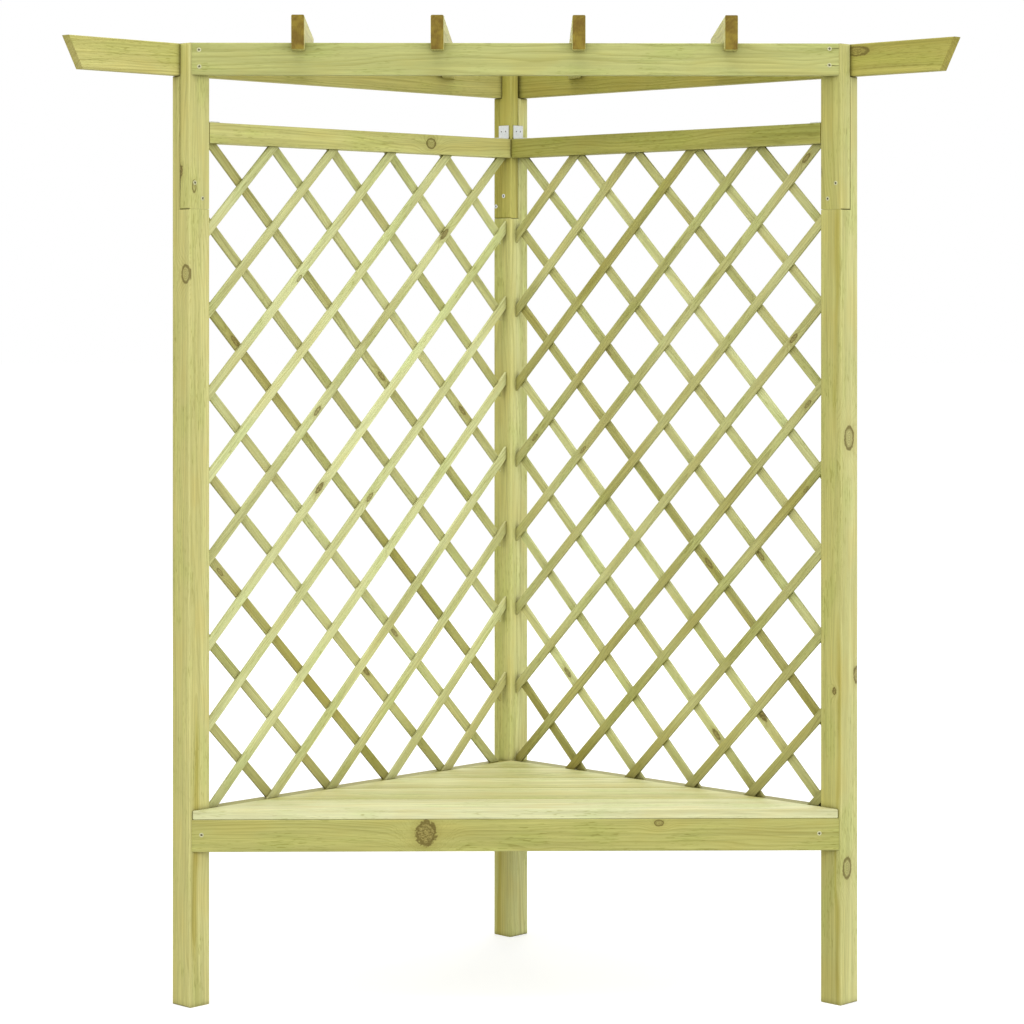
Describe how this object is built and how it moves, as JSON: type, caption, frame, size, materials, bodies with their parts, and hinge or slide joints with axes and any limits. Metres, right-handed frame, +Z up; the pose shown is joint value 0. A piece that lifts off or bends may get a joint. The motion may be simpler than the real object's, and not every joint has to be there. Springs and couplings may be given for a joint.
{
  "type": "corner arbour seat",
  "caption": "Timber corner arbour: two trellis walls meet at a right angle behind a triangular slatted seat, with raked side beams and rafters across the top.",
  "frame": {"origin": "on the ground, under the middle of the bounding box's plan", "axes": "+Z up; -Y towards the open front, so that a sitter faces -Y; +X to the right as seen from the front"},
  "size_m": [1.7398, 0.8934, 1.968],
  "materials": {
    "post_timber": "planed, pressure-treated softwood, matt",
    "beam_timber": "planed, pressure-treated softwood, matt",
    "rafter_timber": "planed, pressure-treated softwood, matt",
    "rail_timber": "planed, pressure-treated softwood, matt",
    "lath_timber": "planed, pressure-treated softwood, matt",
    "board_timber": "planed, pressure-treated softwood, matt",
    "bearer_timber": "planed, pressure-treated softwood, matt",
    "zinc_steel": "zinc-plated, dull"
  },
  "bodies": {
    "root": {"left_post_lower": "post_timber", "left_post_upper": "post_timber", "left_side_beam": "beam_timber", "left_top_rail": "rail_timber", "left_bottom_rail": "rail_timber", "left_lattice": "lath_timber", "left_seat_bearer": "bearer_timber", "left_top_back_bracket": "zinc_steel", "left_top_front_bracket": "zinc_steel", "left_bottom_back_bracket": "zinc_steel", "left_bottom_front_bracket": "zinc_steel", "right_post_lower": "post_timber", "right_post_upper": "post_timber", "right_side_beam": "beam_timber", "right_top_rail": "rail_timber", "right_bottom_rail": "rail_timber", "right_lattice": "lath_timber", "right_seat_bearer": "bearer_timber", "right_top_back_bracket": "zinc_steel", "right_top_front_bracket": "zinc_steel", "right_bottom_back_bracket": "zinc_steel", "right_bottom_front_bracket": "zinc_steel", "back_post_lower": "post_timber", "back_post_upper": "post_timber", "front_beam": "beam_timber", "seat_apron": "beam_timber", "seat_middle_batten": "bearer_timber", "seat_board_1": "board_timber", "seat_board_2": "board_timber", "seat_board_3": "board_timber", "seat_board_4": "board_timber", "seat_board_5": "board_timber", "rafter_1": "rafter_timber", "rafter_2": "rafter_timber", "rafter_3": "rafter_timber", "rafter_4": "rafter_timber"}
  },
  "joints": []
}
